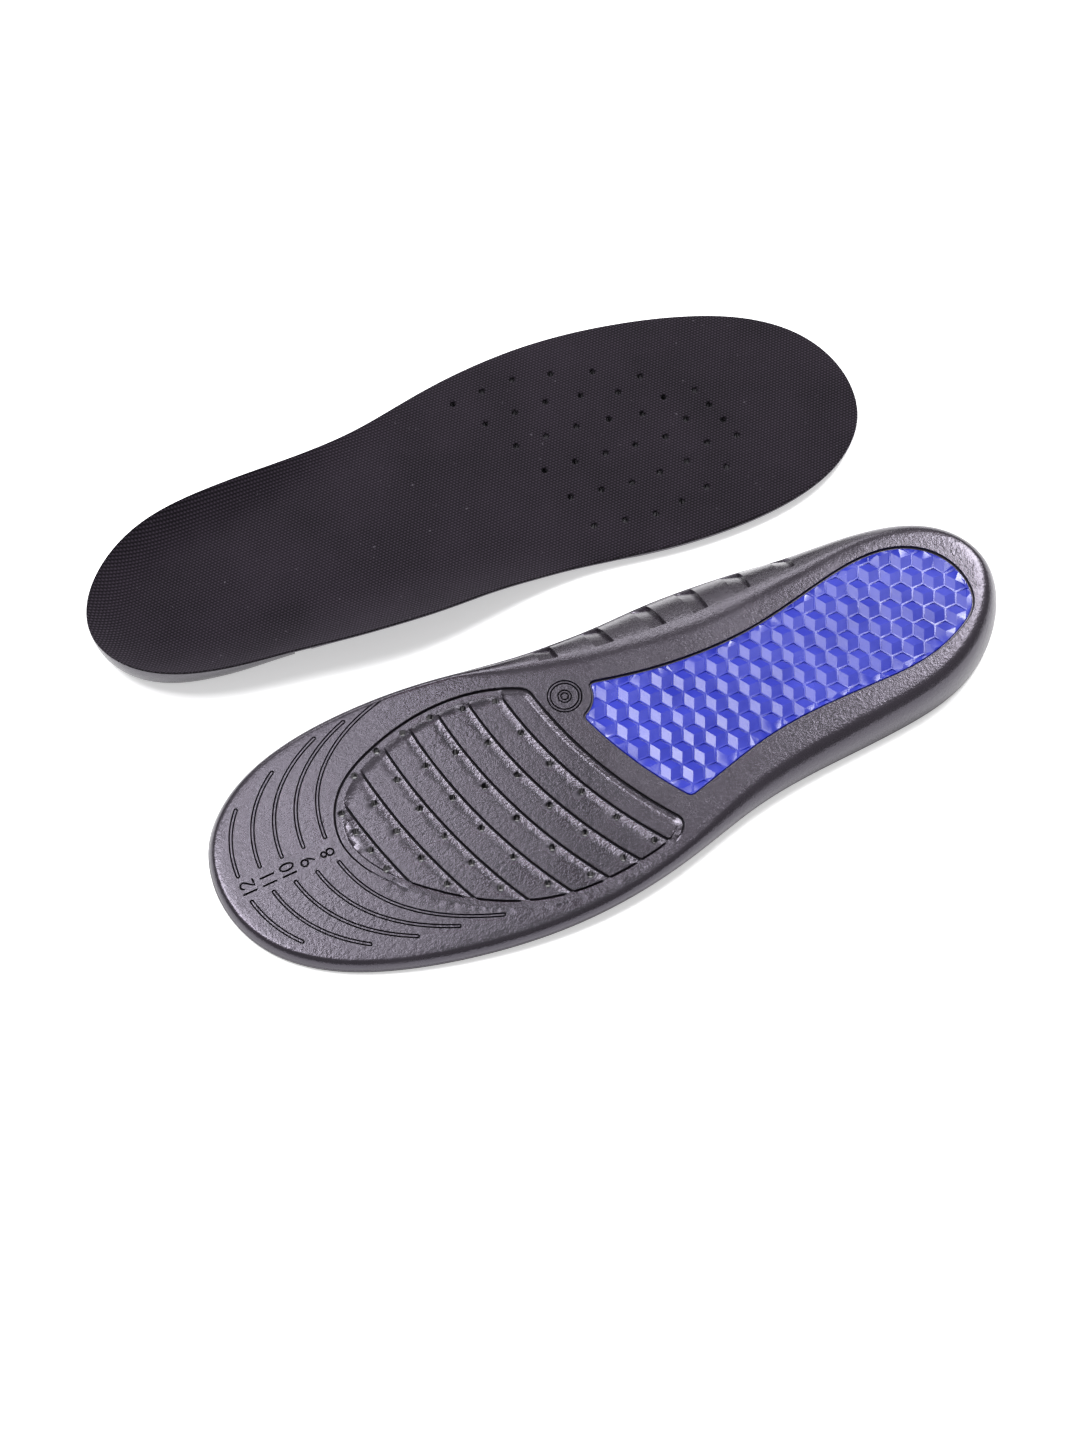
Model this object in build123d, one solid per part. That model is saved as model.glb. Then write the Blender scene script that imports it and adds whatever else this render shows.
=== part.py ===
"""A pair of trim-to-fit cushioned insoles for one person's shoes.

The left insole lies on its sole and the right insole lies beside it on its rim, sole up.
Each one is a knit top cover bonded to a moulded foam base, with a gel pad set into the
underside of the heel and arch.

One insole is drawn in its own frame and then placed:
  x runs from the heel's end to the toe's end, y to the outside of the left foot,
  z up from the flat of the sole.
The right insole is the left one mirrored. Lying sole up, its plan is the left one's plan.
"""

import math
import os

from build123d import *

# ---- Driving dimensions, in mm ----

LENGTH = 314.0                      # heel end to toe end, untrimmed: about men's size 13
COVER_THICKNESS = 0.9
FOREFOOT_THICKNESS = 5.5            # base and cover together
HEEL_CUSHION = 7.5                  # base and cover together, under the heel

# The rim in plan, once round from the heel's end by the outside to the toe and back.
RIM_OUTLINE = [
    (0.0, -2.5), (2.8, 8.8), (12.8, 22.4), (32.8, 34.9), (62.8, 40.4), (92.8, 42.3),
    (122.8, 45.8), (152.8, 53.3), (182.8, 58.4), (212.8, 58.4), (242.8, 53.7),
    (270.0, 45.6), (292.8, 33.6), (307.0, 18.6), (LENGTH, -3.2), (308.8, -27.0),
    (292.8, -42.2), (270.0, -50.2), (242.8, -52.5), (212.8, -50.4), (182.8, -45.8),
    (152.8, -45.7), (122.8, -48.0), (92.8, -46.4), (62.8, -41.7), (32.8, -36.2),
    (12.8, -26.7), (2.8, -14.7),
]

# Stations (x, value) along each side. Between them the value follows a smooth curve.
OUTER_RIM_HEIGHT = [(0, 16.5), (43, 16.0), (73, 14.5), (103, 11.5), (133, 8.5), (163, 6.4), (190, 5.5)]
INNER_RIM_HEIGHT = [(0, 16.5), (43, 17.0), (78, 18.5), (108, 19.0), (138, 15.5), (168, 8.5), (195, 5.5)]
OUTER_WALL_INSET = [(0, 7.5), (95, 7.0), (125, 6.0), (155, 3.5), (190, 3.2)]
INNER_WALL_INSET = [(0, 7.5), (40, 11.0), (70, 18.0), (100, 24.0), (125, 23.5), (150, 18.0),
                    (180, 9.5), (205, 3.5)]
OUTER_WALL_ROUNDNESS = [(0, 2.2), (190, 2.0)]
INNER_WALL_ROUNDNESS = [(0, 2.2), (40, 1.8), (100, 1.4), (150, 1.5), (205, 2.0)]
OUTER_CUP_WIDTH = [(0, 18.0), (100, 16.0), (160, 12.0)]
INNER_CUP_WIDTH = [(0, 18.0), (60, 22.0), (105, 28.0), (140, 24.0), (180, 12.0)]
FOOTBED_HEIGHT = [(0, HEEL_CUSHION), (110, HEEL_CUSHION), (150, 6.6), (190, FOREFOOT_THICKNESS)]
BLEND_REACH = 12.0                  # y from the middle where one side's values take over
CUP_STEEPNESS = 2.1                 # power of the rise from the footbed to the rim
CUP_CLIMB_LIMIT = 1.15              # past the rim the surface levels out

# Gel pad: its two sides, and the arc of its front edge about the rib centre.
GEL_SIDES = [
    (158.0, 37.8), (144.0, 34.3), (131.7, 31.2), (112.3, 26.7), (92.0, 24.6), (63.5, 24.9), (44.1, 24.3),
    (27.0, 19.4), (17.0, 12.2), (14.6, 0.5), (18.4, -10.6), (28.9, -19.5), (43.5, -22.5),
    (60.9, -20.8), (80.2, -17.1), (99.5, -14.6), (119.1, -14.7), (138.7, -17.0),
    (158.4, -21.4), (175.0, -25.4),
]
GEL_FRONT_RADIUS = 158.3
GEL_DEPTH = 3.6                     # depth of the pocket in the sole
GEL_SETBACK = 0.3                   # the pad's face lies this far inside the sole
GEL_GROOVE_WIDTH = 0.6
GEL_GROOVE_DEPTH = 1.2
GEL_CORNER_RADIUS = 2.2

# Round emblem boss beside the pad: the pad's corner is cut back around it.
EMBLEM_CENTRE = (169.7, -20.7)
EMBLEM_RADIUS = 6.3
EMBLEM_CLEARANCE = 10.5
EMBLEM_LINE = 0.6

# Ribbed window under the ball of the foot, and its ribs, which are arcs about one centre.
RIB_CENTRE = (14.6, -53.2)
RIB_COUNT = 8
RIB_FIRST_RADIUS = 176.9            # toe-side edge of the rearmost rib
RIB_PITCH = 11.7
RIB_WIDTH = 8.0
RIB_BORDER = 3.2                    # channel between the ribs' ends and the window's edge
WINDOW_DEPTH = 1.0
WINDOW_REAR_RADIUS = 167.1
WINDOW_CORNER_RADIUS = 3.0
WINDOW_FRONT = [
    (149.0, 35.5), (152.6, 42.3), (157.0, 47.2), (168.0, 50.9), (190.0, 52.7), (212.0, 49.3), (232.1, 39.8),
    (247.4, 27.7), (260.9, 12.2), (267.0, -5.0), (260.5, -22.4), (242.6, -33.4),
    (218.0, -38.7), (197.0, -36.9), (181.5, -30.6),
    (170.0, -22.5),
]

# Perforations: (number, first angle, last angle) of each row about the rib centre, rear row first.
HOLE_ROWS = [
    (6, 7.3, 32.7), (6, 6.1, 30.9), (6, 5.1, 29.1), (6, 5.1, 26.3), (6, 5.4, 23.2),
    (5, 6.4, 19.5), (4, 8.8, 15.0),
]
HOLE_RADIUS = 1.05
HOLE_OFFSET = 3.1                   # from a rib's toe-side edge to the next row of holes

# Trim lines: the toe's outline moved back to each shorter shoe size.
INCH = 25.4
SIZES = range(8, 13)                # men's sizes, one third of an inch apart
SIZE_ZERO_LENGTH = 8 * INCH
TRIM_LINE_WIDTH = 0.9
TRIM_LINE_DEPTH = 0.4
TRIM_GAP = (-8.0, 1.5)              # band of y left free for the size numbers
TRIM_SIDE_LIMITS = {8: (-45.0, 48.0), 9: (-46.0, 45.0), 10: (-45.5, 42.0), 11: (-39.5, 35.5),
                    12: (-31.0, 24.5)}

# Placing: (x, y, turn in degrees) of each insole's heel end.
LEFT_PLACE = (-138.7, 99.4, -1.0)
RIGHT_PLACE = (178.65, -20.65, 181.0)
SOLE_UP_PITCH = 2.52                # the arch's rim lifts the heel and the inner side
SOLE_UP_ROLL = 3.81
RIM_REACH = (-64.0, 70.0)           # y just past the rim on both sides
FOOTBED_SECTIONS = [-10, -4, 0, 4, 9, 15, 22, 30, 40, 52, 66, 80, 95, 110, 125, 140, 155, 170,
                    185, 205, 230, 260, 290, 310, LENGTH + 10]
FOOTBED_SAMPLES = 23

WALL_SLICES = [0.0, 0.12, 0.3, 0.55, 0.8, 1.0]      # parts of the rim height
CARRIED_UP = (22.0, 26.0)           # heights that the wall is carried on to, above every rim
TOP = CARRIED_UP[-1]
RIM_SAMPLES = 72
RING_EDGES = 8


# ---- Curves of one insole ----

def along(stations, x):
    """The value at x of a smooth curve through the stations, level beyond both ends."""
    xs = [s[0] for s in stations]
    ys = [s[1] for s in stations]
    if x <= xs[0]:
        return ys[0]
    if x >= xs[-1]:
        return ys[-1]
    i = max(k for k in range(len(xs) - 1) if xs[k] <= x)

    def slope(k):
        if k in (0, len(xs) - 1):
            return 0.0
        return (ys[k + 1] - ys[k - 1]) / (xs[k + 1] - xs[k - 1])

    span = xs[i + 1] - xs[i]
    u = (x - xs[i]) / span
    rise = (3 - 2 * u) * u * u
    lead = u * (1 - u) ** 2 * span
    trail = u * u * (1 - u) * span
    return ys[i] + (ys[i + 1] - ys[i]) * rise + slope(i) * lead - slope(i + 1) * trail


def two_sided(outer, inner, x, y):
    """Blend of the outer side's stations and the inner side's across the insole's middle."""
    u = min(1.0, max(0.0, (BLEND_REACH - y) / (2 * BLEND_REACH)))
    w = (3 - 2 * u) * u * u
    return (1 - w) * along(outer, x) + w * along(inner, x)


def rim_points():
    """Points round the rim with their inward normals."""
    wire = Wire(Spline(*RIM_OUTLINE, periodic=True))
    points = []
    for k in range(RIM_SAMPLES):
        at = wire.position_at(k / RIM_SAMPLES)
        way = wire.tangent_at(k / RIM_SAMPLES)
        points.append((at.X, at.Y, way.Y, -way.X))
    return points


RIM = rim_points()


def inside_distance(x, y):
    """Distance from (x, y) to the rim in plan, negative outside."""
    best = min(range(RIM_SAMPLES), key=lambda k: math.hypot(x - RIM[k][0], y - RIM[k][1]))
    distances = []
    for k in (best - 1, best):
        ax, ay = RIM[k][:2]
        bx, by = RIM[(k + 1) % RIM_SAMPLES][:2]
        run = math.hypot(bx - ax, by - ay)
        u = min(1.0, max(0.0, ((x - ax) * (bx - ax) + (y - ay) * (by - ay)) / run**2))
        distances.append(math.hypot(x - ax - u * (bx - ax), y - ay - u * (by - ay)))
    px, py, nx, ny = RIM[best]
    inside = (x - px) * nx + (y - py) * ny > 0
    return min(distances) if inside else -min(distances)


def footbed_height(x, y):
    """Height of the cover's upper face: a flat footbed that rises to the rim."""
    bed = along(FOOTBED_HEIGHT, x)
    rim = two_sided(OUTER_RIM_HEIGHT, INNER_RIM_HEIGHT, x, y)
    width = two_sided(OUTER_CUP_WIDTH, INNER_CUP_WIDTH, x, y)
    climb = max(0.0, 1.0 - inside_distance(x, y) / width)
    return bed + (rim - bed) * min(climb, CUP_CLIMB_LIMIT) ** CUP_STEEPNESS


def wall_slice(part_of_height):
    """Points of the outer wall, rim height times part_of_height up."""
    points = []
    for x, y, nx, ny in RIM:
        inset = two_sided(OUTER_WALL_INSET, INNER_WALL_INSET, x, y)
        power = two_sided(OUTER_WALL_ROUNDNESS, INNER_WALL_ROUNDNESS, x, y)
        height = two_sided(OUTER_RIM_HEIGHT, INNER_RIM_HEIGHT, x, y)
        left = inset * (1 - (1 - (1 - part_of_height) ** power) ** (1 / power))
        points.append((x + nx * left, y + ny * left, height * part_of_height))
    return points


# ---- Solids shared by the pieces ----

def ring(points):
    """A smooth closed wire through the points, in as many edges as RING_EDGES."""
    count = len(points)
    step = count // RING_EDGES

    def heading(k):
        return (Vector(points[(k + 1) % count]) - Vector(points[k - 1])).normalized()

    edges = []
    for first in range(0, count, step):
        run = [points[(first + k) % count] for k in range(step + 1)]
        ends = (heading(first), heading((first + step) % count))
        edges.append(Spline(*run, tangents=ends))
    return Wire(edges)


def outer_body():
    """The insole's outside with an upright wall carried on above the rim."""
    rings = [ring(wall_slice(s)) for s in WALL_SLICES]
    for z in CARRIED_UP:
        rings.append(ring([(x, y, z) for x, y, _ in wall_slice(1.0)]))
    return Solid.make_loft(rings)


def above_footbed(drop):
    """Everything above the footbed surface, lowered by drop."""
    y_low, y_high = RIM_REACH
    sections = []
    for x in FOOTBED_SECTIONS:
        spread = [y_low + (y_high - y_low) * k / (FOOTBED_SAMPLES - 1) for k in range(FOOTBED_SAMPLES)]
        bed = [(x, y, footbed_height(x, y) - drop) for y in spread]
        frame = Polyline(bed[-1], (x, y_high, 2 * TOP), (x, y_low, 2 * TOP), bed[0])
        sections.append(Wire([Spline(*bed)] + list(frame.edges())))
    return Solid.make_loft(sections)


def ring_sector(inner_radius, outer_radius):
    """A flat ring about the rib centre."""
    return Pos(*RIB_CENTRE) * (Circle(outer_radius) - Circle(inner_radius))


def moved_right(points, distance):
    """An open row of points, each moved to the right of the row's direction."""
    moved = []
    for k, (x, y) in enumerate(points):
        before = points[max(k - 1, 0)]
        after = points[min(k + 1, len(points) - 1)]
        dx = after[0] - before[0]
        dy = after[1] - before[1]
        size = math.hypot(dx, dy)
        moved.append((x + dy / size * distance, y - dx / size * distance))
    return moved


def gel_outline(grown=0.0):
    """The pad's plan: its sides, its arched front edge and the bite round the emblem."""
    sides = moved_right(GEL_SIDES, grown)
    plan = make_face([Spline(*sides), Line(sides[-1], sides[0])])
    plan = plan & (Pos(*RIB_CENTRE) * Circle(GEL_FRONT_RADIUS + grown))
    plan = plan - Pos(*EMBLEM_CENTRE) * Circle(EMBLEM_CLEARANCE - grown)
    corners = [v for v in plan.vertices() if v.X > 130]
    return fillet(corners, GEL_CORNER_RADIUS)


def window_outline(shrunk=0.0):
    """The ribbed window's plan: a curved front and a rear edge on a rib arc."""
    front = moved_right(WINDOW_FRONT, shrunk)
    plan = make_face([Spline(*front), Line(front[-1], front[0])])
    plan = plan - Pos(*RIB_CENTRE) * Circle(WINDOW_REAR_RADIUS + shrunk)
    return fillet(plan.vertices(), WINDOW_CORNER_RADIUS)


def rib_outlines():
    """The ribs' plans: bands about the rib centre, cut short of the window's edge."""
    inner = window_outline(RIB_BORDER)
    bands = []
    for k in range(RIB_COUNT):
        radius = RIB_FIRST_RADIUS + k * RIB_PITCH
        bands.append(inner & ring_sector(radius - RIB_WIDTH, radius))
    return bands


def hole_places():
    """Centres of the perforations."""
    places = []
    for row, (count, first, last) in enumerate(HOLE_ROWS):
        radius = RIB_FIRST_RADIUS + row * RIB_PITCH + HOLE_OFFSET
        for k in range(count):
            angle = math.radians(first + (last - first) * k / (count - 1))
            x = RIB_CENTRE[0] + radius * math.cos(angle)
            y = RIB_CENTRE[1] + radius * math.sin(angle)
            places.append((x, y))
    return places


def trim_line_outlines():
    """The printed sizes' toe lines, each a pair of thin arcs either side of its number."""
    rim = make_face([Spline(*RIM_OUTLINE, periodic=True)])
    lines = []
    for size in SIZES:
        shift = (SIZE_ZERO_LENGTH + size * INCH / 3) - LENGTH
        band = Pos(shift + TRIM_LINE_WIDTH, 0) * rim - Pos(shift, 0) * rim
        low, high = TRIM_SIDE_LIMITS[size]
        for y0, y1 in ((low, TRIM_GAP[0]), (TRIM_GAP[1], high)):
            window = Pos(LENGTH, (y0 + y1) / 2) * Rectangle(LENGTH, y1 - y0)
            lines.append(band & window)
    return lines


# ---- One insole's pieces, as a left insole on its sole ----

def pocket_cutters(plan):
    """The gel pad's pocket and the narrow groove round its mouth."""
    return [extrude(plan, GEL_DEPTH), extrude(gel_outline(GEL_GROOVE_WIDTH), GEL_GROOVE_DEPTH)]


def window_cutter():
    """The sunk channels of the window, which leave its ribs standing."""
    channels = window_outline()
    for rib in rib_outlines():
        channels = channels - rib
    return extrude(channels, WINDOW_DEPTH)


def mark_cutters():
    """The trim lines and the emblem's ring."""
    emblem = Circle(EMBLEM_RADIUS) - Circle(EMBLEM_RADIUS - EMBLEM_LINE)
    marks = trim_line_outlines() + [Pos(*EMBLEM_CENTRE) * emblem]
    return [extrude(mark, TRIM_LINE_DEPTH) for mark in marks]


def make_insole():
    """Cover, base and gel pad of one insole."""
    body = outer_body()
    above_base = above_footbed(COVER_THICKNESS)
    gel_plan = gel_outline()
    holes = [extrude(Pos(*place) * Circle(HOLE_RADIUS), TOP) for place in hole_places()]
    cover = (body & above_base) - above_footbed(0)
    cover = max(cover.solids(), key=lambda solid: solid.volume)
    base = body - above_base
    for cutters in (pocket_cutters(gel_plan), [window_cutter()], mark_cutters(), holes):
        base = base - cutters
    gel_pad = extrude(gel_plan, GEL_DEPTH) - extrude(gel_plan, GEL_SETBACK)
    return {"cover": cover - holes, "base": base, "gel_pad": gel_pad}


# ---- The pair, placed and written ----

def placed(piece, place):
    """A piece set down at (x, y) and turned about its heel."""
    x, y, turn = place
    return Pos(x, y, 0) * Rot(0, 0, turn) * piece


def sole_up(piece):
    """The piece mirrored to the other foot and tipped the way it lies on its rim."""
    return Rot(-SOLE_UP_ROLL, SOLE_UP_PITCH, 0) * mirror(piece, about=Plane.XY)


def plan_centre(pieces):
    """Middle of the pieces' common box in plan."""
    boxes = [piece.bounding_box() for piece in pieces]
    x = (min(box.min.X for box in boxes) + max(box.max.X for box in boxes)) / 2
    y = (min(box.min.Y for box in boxes) + max(box.max.Y for box in boxes)) / 2
    return x, y


def main():
    insole = make_insole()
    left = {"left_" + name: placed(piece, LEFT_PLACE) for name, piece in insole.items()}
    right = {"right_" + name: placed(sole_up(piece), RIGHT_PLACE) for name, piece in insole.items()}
    lift = -min(piece.bounding_box().min.Z for piece in right.values())
    right = {name: Pos(0, 0, lift) * piece for name, piece in right.items()}
    pair = {**left, **right}
    x, y = plan_centre(pair.values())
    os.makedirs("parts", exist_ok=True)
    for name, piece in pair.items():
        solid = Pos(-x, -y, 0) * piece
        print(name, type(solid).__name__, solid.is_valid, solid.volume)
        export_step(Part() + solid, f"parts/{name}.step")
    print(f"right insole lifted {lift:.3f}, pair moved by ({-x:.3f}, {-y:.3f})")


if __name__ == "__main__":
    main()
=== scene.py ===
"""A pair of cushioned insoles: knit top covers on moulded foam bases, with gel pads in their soles.

The left insole lies on its sole and the right one beside it on its rim, sole up. Each piece is
drawn once, as a left insole in millimetres: x from the heel to the toe, y to the outside of the
foot, z up from the flat of the sole. Then it is placed twice, the right one mirrored.
"""

import math

import bmesh
import bpy
import numpy as np
from mathutils import Matrix, Vector
from mathutils.geometry import delaunay_2d_cdt


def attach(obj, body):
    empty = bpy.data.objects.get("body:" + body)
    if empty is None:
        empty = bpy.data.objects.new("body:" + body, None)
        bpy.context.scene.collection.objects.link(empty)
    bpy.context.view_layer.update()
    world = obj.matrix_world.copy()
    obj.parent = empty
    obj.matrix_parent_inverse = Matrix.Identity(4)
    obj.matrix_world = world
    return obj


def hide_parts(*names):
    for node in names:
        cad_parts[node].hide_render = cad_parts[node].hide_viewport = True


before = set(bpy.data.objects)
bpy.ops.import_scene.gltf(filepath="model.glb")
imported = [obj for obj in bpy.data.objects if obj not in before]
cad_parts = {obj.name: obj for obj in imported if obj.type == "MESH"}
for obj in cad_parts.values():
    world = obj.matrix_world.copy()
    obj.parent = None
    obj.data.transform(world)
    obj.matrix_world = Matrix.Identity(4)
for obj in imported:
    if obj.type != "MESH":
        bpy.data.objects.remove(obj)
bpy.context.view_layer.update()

MM = 0.001

# ---- The insole's shape in mm: the CAD model's, with finer marks ----

LENGTH = 314.0
COVER_THICKNESS = 0.9
RIM_OUTLINE = [
    (0.0, -2.5), (2.8, 8.8), (12.8, 22.4), (32.8, 34.9), (62.8, 40.4), (92.8, 42.3),
    (122.8, 45.8), (152.8, 53.3), (182.8, 58.4), (212.8, 58.4), (242.8, 53.7),
    (270.0, 45.6), (292.8, 33.6), (307.0, 18.6), (LENGTH, -3.2), (308.8, -27.0),
    (292.8, -42.2), (270.0, -50.2), (242.8, -52.5), (212.8, -50.4), (182.8, -45.8),
    (152.8, -45.7), (122.8, -48.0), (92.8, -46.4), (62.8, -41.7), (32.8, -36.2),
    (12.8, -26.7), (2.8, -14.7),
]

# Stations (x, value) along each side. Between them the value follows a smooth curve.
OUTER_RIM_HEIGHT = [(0, 16.5), (43, 16.0), (73, 14.5), (103, 11.5), (133, 8.5), (163, 6.4), (190, 5.5)]
INNER_RIM_HEIGHT = [(0, 16.5), (43, 17.0), (78, 18.5), (108, 19.0), (138, 15.5), (168, 8.5), (195, 5.5)]
OUTER_WALL_INSET = [(0, 7.5), (95, 7.0), (125, 6.0), (155, 3.5), (190, 3.2)]
INNER_WALL_INSET = [(0, 7.5), (40, 11.0), (70, 18.0), (100, 24.0), (125, 23.5), (150, 18.0),
                    (180, 9.5), (205, 3.5)]
OUTER_WALL_ROUNDNESS = [(0, 2.2), (190, 2.0)]
INNER_WALL_ROUNDNESS = [(0, 2.2), (40, 1.8), (100, 1.4), (150, 1.5), (205, 2.0)]
OUTER_CUP_WIDTH = [(0, 18.0), (100, 16.0), (160, 12.0)]
INNER_CUP_WIDTH = [(0, 18.0), (60, 22.0), (105, 28.0), (140, 24.0), (180, 12.0)]
FOOTBED_HEIGHT = [(0, 7.5), (110, 7.5), (150, 6.6), (190, 5.5)]
BLEND_REACH = 12.0                  # y from the middle where one side's values take over
CUP_STEEPNESS = 2.1

GEL_SIDES = [
    (158.0, 37.8), (144.0, 34.3), (131.7, 31.2), (112.3, 26.7), (92.0, 24.6), (63.5, 24.9),
    (44.1, 24.3), (27.0, 19.4), (17.0, 12.2), (14.6, 0.5), (18.4, -10.6), (28.9, -19.5), (43.5, -22.5),
    (60.9, -20.8), (80.2, -17.1), (99.5, -14.6), (119.1, -14.7), (138.7, -17.0),
    (158.4, -21.4), (175.0, -25.4),
]
GEL_FRONT_RADIUS = 158.3
GEL_DEPTH = 3.6
GEL_SETBACK = 0.3
GEL_CORNER_REACH = 1.8
GEL_GROOVE_WIDTH = 0.6
GEL_GROOVE_DEPTH = 1.2
GEL_FLUSH = 0.6                     # depth of the pad's edge, below the sole
PAD_BACK = GEL_DEPTH - 0.06
PAD_EDGE = [(0.05, PAD_BACK), (0.03, 1.6), (0.1, 1.0), (0.35, GEL_FLUSH)]    # (distance inwards, depth)
POCKET_DEPTH = GEL_DEPTH - 0.05
POCKET_PROFILE = [                  # (distance outwards from the pad's edge, depth)
    (GEL_GROOVE_WIDTH + 0.15, 0.0), (GEL_GROOVE_WIDTH, GEL_GROOVE_DEPTH), (-0.1, GEL_GROOVE_DEPTH),
    (-0.2, POCKET_DEPTH), (-2.0, POCKET_DEPTH),
]
POCKET_FLOOR_INSET = 2.05
EMBLEM_CENTRE = (169.7, -20.7)
EMBLEM_RINGS = [(5.75, 60), (1.9, 28)]         # (radius, number of points)
EMBLEM_CLEARANCE = 10.5

RIB_CENTRE = (14.6, -53.2)
RIB_COUNT = 8
RIB_FIRST_RADIUS = 176.9            # toe-side edge of the rearmost rib
RIB_PITCH = 11.7
RIB_RAMP = 3.1                      # from a rib's edge up to the next rib's level
RIB_BORDER = 3.2                    # channel between the ribs' ends and the window's edge
WINDOW_DEPTH = 1.0
WINDOW_REAR_RADIUS = 167.1
WINDOW_REAR_RAMP = 2.5
WINDOW_CORNER_REACH = 3.0
RIB_CORNER_REACH = 0.6
WINDOW_FRONT = [
    (149.0, 35.5), (152.6, 42.3), (157.0, 47.2), (168.0, 50.9), (190.0, 52.7), (212.0, 49.3),
    (232.1, 39.8), (247.4, 27.7), (260.9, 12.2), (267.0, -5.0), (260.5, -22.4), (242.6, -33.4),
    (218.0, -38.7), (197.0, -36.9), (181.5, -30.6), (170.0, -22.5),
]
OUTER_CHANNEL = ([0.0, 3.0, 9.0], [0.2, 0.5, 1.0])     # the outer side's depth against distance inside
OUTER_SIDE = (8.0, 14.0)            # y where the window's outer side begins, and its reach to full effect
OUTER_SIDE_REAR = (4.0, 6.0)        # the same from the window's rear edge to the toe
INNER_SIDE = (2.0, 14.0)            # and the same to the inner side
INNER_END_SLOPE = 2.2
END_SLOT = ([0.1, 0.25, 0.6, 0.75], [0, 1, 1, 0])      # slot beside the ribs' outer ends
END_SLOT_DEPTH = 1.3
END_SLOT_START = RIB_RAMP - 0.4     # from a rib's edge, where its end slot begins
REAR_LEDGE = 0.3                    # from the window's rear edge, where the rear ramp begins
RIB_ANGLES = (-4, 44)               # about the rib centre, wider than the window
SHARP_EDGE = 0.22
# Depths against distance past an edge: a narrow slot, then a slope or a level channel.
RIB_PROFILE = ([0.0, 0.22, 0.65, 0.85, RIB_RAMP], [0.5, 1.5, 1.5, 0.65, 0.0])
EDGE_PROFILE = ([0.0, 0.22, 0.65, 0.85], [0.0, 1.5, 1.5, 0.9])

HOLE_ROWS = [                       # (number, first angle, last angle) about the rib centre
    (6, 7.3, 32.7), (6, 6.1, 30.9), (6, 5.1, 29.1), (6, 5.1, 26.3), (6, 5.4, 23.2),
    (5, 6.4, 19.5), (4, 8.8, 15.0),
]
HOLE_RADIUS = 1.25                  # 0.2 more than the CAD model's, as wide as they look in the photo
HOLE_SIDES = 20
HOLE_LIP = [(1.55, 0.0), (1.2, 0.08)]          # the knit's dip round a hole: (part of its radius, depth)
HOLE_SINK = 0.32                    # how far the knit's edge lies down in a hole

INCH = 25.4
SIZES = range(8, 13)                # men's sizes, one third of an inch apart
SIZE_ZERO_LENGTH = 8 * INCH
TOE_START = 245.0                   # x from which the toe's outline is copied for them
TRIM_GAP = (-8.0, 1.5)              # y between which the numbers stand and the lines stop
# y of each line's far ends, by size.
TRIM_SIDE_LIMITS = {8: (-49.5, 46.0), 9: (-47.5, 43.0), 10: (-46.0, 40.0), 11: (-40.5, 35.0),
                    12: (-33.0, 24.0)}
NUMBER_FIRST = 272.8                # x of the smallest size's number, and from one to the next
NUMBER_PITCH = 7.6
NUMBER_MIDDLE = -3.1
NUMBER_HEIGHT = 5.0
DIGIT_PITCH = 0.62                  # in number heights

# Embossed lines: (distance from the line's middle, depth there).
BEAD_PROFILE = [(0.26, 0.0), (0.32, 1.2), (0.76, 1.2), (0.84, 0.0)]
NUMBER_PROFILE = [(0.26, 1.0), (0.38, 0.0)]

# Depths past which a groove's floor gets painted shade, in the ribbed window and outside it.
SLOT_DARK_DEPTH = 1.3
MARK_DARK_DEPTH = 0.9

# Shingled tabs on the arch's wall: x of the sharp edge and of the flush edge.
ARCH_TABS = [(66.1, 72.4), (84.5, 91.3), (103.5, 110.3), (122.3, 129.3), (144.0, 151.0), (164.5, 171.4)]
TAB_DEPTHS = (1.5, 0.2)             # at the sharp edge and at the flush edge
TAB_SPAN = (0.17, 0.95)             # parts of the wall's height between which a tab runs
TAB_STEP = 0.006                    # half the part of that height over which a tab steps in
TAB_EDGE = 0.08                     # half the length over which it steps in at its two edges

# Where cover and base meet at the rim: (distance inwards, distance down from the rim).
COVER_GAP = 0.05
FOLD_INSET = 0.6
LIP_DROP = 1.65                     # from the rim down to the top of the base's wall
BASE_LIP = [(0.02, LIP_DROP), (0.0, COVER_THICKNESS + 0.15), (FOLD_INSET, COVER_THICKNESS + COVER_GAP)]
COVER_EDGE = [
    (0.45, COVER_THICKNESS), (0.12, COVER_THICKNESS * 0.92), (0.0, COVER_THICKNESS * 0.6),
    (0.05, COVER_THICKNESS * 0.3), (0.25, 0.08),
]

CUBE_COLUMN = 6.85                  # the gel's cube pattern: spacing of its columns along x
CUBE_PITCH = 8.5                    # and of the cubes along a column
CUBE_START = (18.0, 1.0)            # a cube's middle
CUBE_ROWS = 8                       # to each side of it
CUBE_RELIEF = 1.5
CUBE_SCALE = 0.90                   # a cube's size within its cell, out to the web's slope
CUBE_WEB = 0.94                     # and out to the level web
WEB_LEVEL = 0.28                    # part of the relief that the web lies down
TILED_INSET = 0.9                   # border of the pad without cube edges

# Placing: x, y, z and turn about z, in mm and degrees, in the row frame.
LEFT_PLACE = (-158.972, 62.940, 0.0, -1.0)
RIGHT_PLACE = (158.378, -57.110, 21.291, 181.0)
SOLE_UP_PITCH = 2.52
SOLE_UP_ROLL = 3.81

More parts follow.
